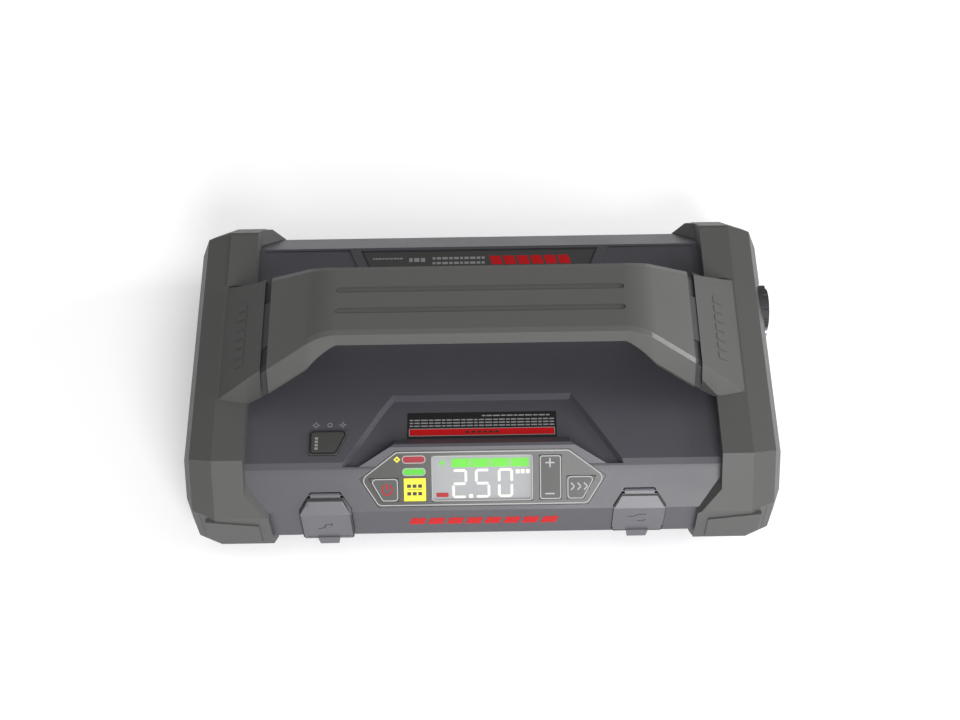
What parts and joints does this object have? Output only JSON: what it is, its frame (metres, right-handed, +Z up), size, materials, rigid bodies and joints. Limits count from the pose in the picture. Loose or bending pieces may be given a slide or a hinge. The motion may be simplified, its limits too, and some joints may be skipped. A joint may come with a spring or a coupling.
{
  "type": "jump starter pack",
  "caption": "Portable car jump starter and tyre inflator with end bumpers, bridge handle, control panel, hinged port covers and internal compressor.",
  "frame": {"origin": "on the ground under the middle of the pack", "axes": "X along the pack, -Y out of the control side, +Z up"},
  "size_m": [0.2639, 0.1591, 0.092],
  "materials": {
    "case_plastic": "satin, dark blue-grey",
    "bumper_plastic": "matte, warm grey",
    "grip_rubber": "matte soft touch",
    "core_plastic": "matte black",
    "panel_gloss": "satin printed film",
    "window_glass": "clear",
    "display": "backlit grey",
    "board_green": "solder mask",
    "key_grey": "satin",
    "key_yellow": "backlit yellow",
    "lamp_key": "matte",
    "pipe_red": "lit",
    "pipe_green": "lit",
    "cover_rubber": "satin",
    "steel": "machined",
    "screw_steel": "black oxide",
    "copper": "bare copper",
    "contact_brass": "plated",
    "socket_blue": "moulded",
    "lens_clear": "clear",
    "reflector": "vacuum metallised",
    "foot_rubber": "matte",
    "cell_foil": "laminated foil",
    "tray_plastic": "matte",
    "relay_black": "moulded",
    "capacitor": "sleeved",
    "magnet": "ferrite",
    "rotor": "laminated, wound",
    "cast_alloy": "die cast",
    "gear_plastic": "acetal",
    "bronze": "sintered bronze",
    "seal_black": "matte",
    "hose_black": "braided hose",
    "label_black": "printed film",
    "label_dark": "printed film",
    "print_light": "printed ink",
    "print_grey": "printed ink",
    "print_dark": "printed ink",
    "print_red": "printed ink",
    "print_yellow": "printed ink",
    "display_light": "lit display segment",
    "display_green": "lit display segment"
  },
  "bodies": {
    "case": {"upper_shell": "case_plastic", "lower_shell": "case_plastic", "end_cap_left": "bumper_plastic", "end_cap_right": "bumper_plastic", "handle_core": "core_plastic", "handle_grip": "grip_rubber", "control_panel": "panel_gloss", "lcd_window": "window_glass", "lcd_module": "display", "display_board": "board_green", "jump_cover_pin": "screw_steel", "usb_cover_pin": "screw_steel", "jump_socket": "socket_blue", "usb_a_socket": "steel", "usb_c_socket": "steel", "port_board": "board_green", "lamp_lens": "lens_clear", "lamp_reflector": "reflector", "lamp_board": "board_green", "battery_tray": "tray_plastic", "main_board": "board_green", "relay": "relay_black", "motor_can": "steel", "crank_bearing": "bronze", "cylinder": "cast_alloy", "cylinder_head": "cast_alloy", "gear_frame": "cast_alloy", "air_hose": "hose_black", "air_outlet": "contact_brass", "tether_ring": "steel", "info_label": "label_black", "rear_label": "label_dark", "fault_light_pipe": "pipe_red", "status_light_pipe": "pipe_green", "case_screws": "screw_steel", "cap_screws": "screw_steel", "handle_screws": "screw_steel", "rubber_feet": "foot_rubber", "jump_contacts": "contact_brass", "battery_cells": "cell_foil", "bus_bars": "copper", "capacitors": "capacitor", "motor_magnets": "magnet"},
    "power_key": {"power_button": "key_grey"},
    "unit_key": {"unit_button": "key_yellow"},
    "rocker": {"plus_minus_rocker": "key_grey"},
    "pump_key": {"pump_button": "key_grey"},
    "light_key": {"light_button": "lamp_key"},
    "jump_flap": {"jump_port_cover": "cover_rubber"},
    "usb_flap": {"usb_port_cover": "cover_rubber"},
    "dust_cap": {"outlet_cap": "cover_rubber"},
    "crank": {"crank_gear": "gear_plastic", "crank_shaft": "steel"},
    "rotor": {"motor_rotor": "rotor", "motor_shaft": "steel", "drive_pinion": "steel"},
    "rod": {"connecting_rod": "cast_alloy", "wrist_pin": "steel"},
    "piston": {"piston": "cast_alloy", "piston_ring": "seal_black"}
  },
  "joints": [
    {"name": "power_press", "type": "slide", "parent": "case", "child": "power_key", "axis": [0, 0.6644, -0.7474], "range_m": [0, 0.0008], "stiffness_N_per_m": 300},
    {"name": "unit_press", "type": "slide", "parent": "case", "child": "unit_key", "axis": [0, 0.6644, -0.7474], "range_m": [0, 0.0008], "stiffness_N_per_m": 300},
    {"name": "rocker_tilt", "type": "hinge", "parent": "case", "child": "rocker", "pos_m": [0.0295, -0.06299, 0.04564], "axis": [1, 0, 0], "range_deg": [-2, 2], "stiffness_Nm_per_rad": 0.05},
    {"name": "pump_press", "type": "slide", "parent": "case", "child": "pump_key", "axis": [0, 0.6644, -0.7474], "range_m": [0, 0.0008], "stiffness_N_per_m": 300},
    {"name": "light_press", "type": "slide", "parent": "case", "child": "light_key", "axis": [0, 0, -1], "range_m": [0, 0.001], "stiffness_N_per_m": 300},
    {"name": "jump_cover_hinge", "type": "hinge", "parent": "case", "child": "jump_flap", "pos_m": [-0.0688, -0.06906, 0.04238], "axis": [-1, 0, 0], "range_deg": [0, 95]},
    {"name": "usb_cover_hinge", "type": "hinge", "parent": "case", "child": "usb_flap", "pos_m": [0.0683, -0.06906, 0.04238], "axis": [-1, 0, 0], "range_deg": [0, 95]},
    {"name": "dust_cap_pull", "type": "slide", "parent": "case", "child": "dust_cap", "axis": [1, 0, 0], "range_m": [0, 0.012]},
    {"name": "crank_spin", "type": "hinge", "parent": "case", "child": "crank", "pos_m": [0.07, 0.016, 0.027], "axis": [1, 0, 0], "continuous": true},
    {"name": "rotor_spin", "type": "hinge", "parent": "case", "child": "rotor", "pos_m": [0.04, 0.039, 0.027], "axis": [1, 0, 0], "continuous": true},
    {"name": "rod_pivot", "type": "hinge", "parent": "crank", "child": "rod", "pos_m": [0.07775, 0.0125, 0.027], "axis": [1, 0, 0], "continuous": true},
    {"name": "piston_stroke", "type": "slide", "parent": "case", "child": "piston", "axis": [0, 1, 0], "range_m": [0, 0.007]}
  ],
  "couplings": [
    {"joint": "crank_spin", "follows": "rotor_spin", "ratio": -0.27778},
    {"joint": "rod_pivot", "follows": "rotor_spin", "ratio": 0.27778}
  ]
}
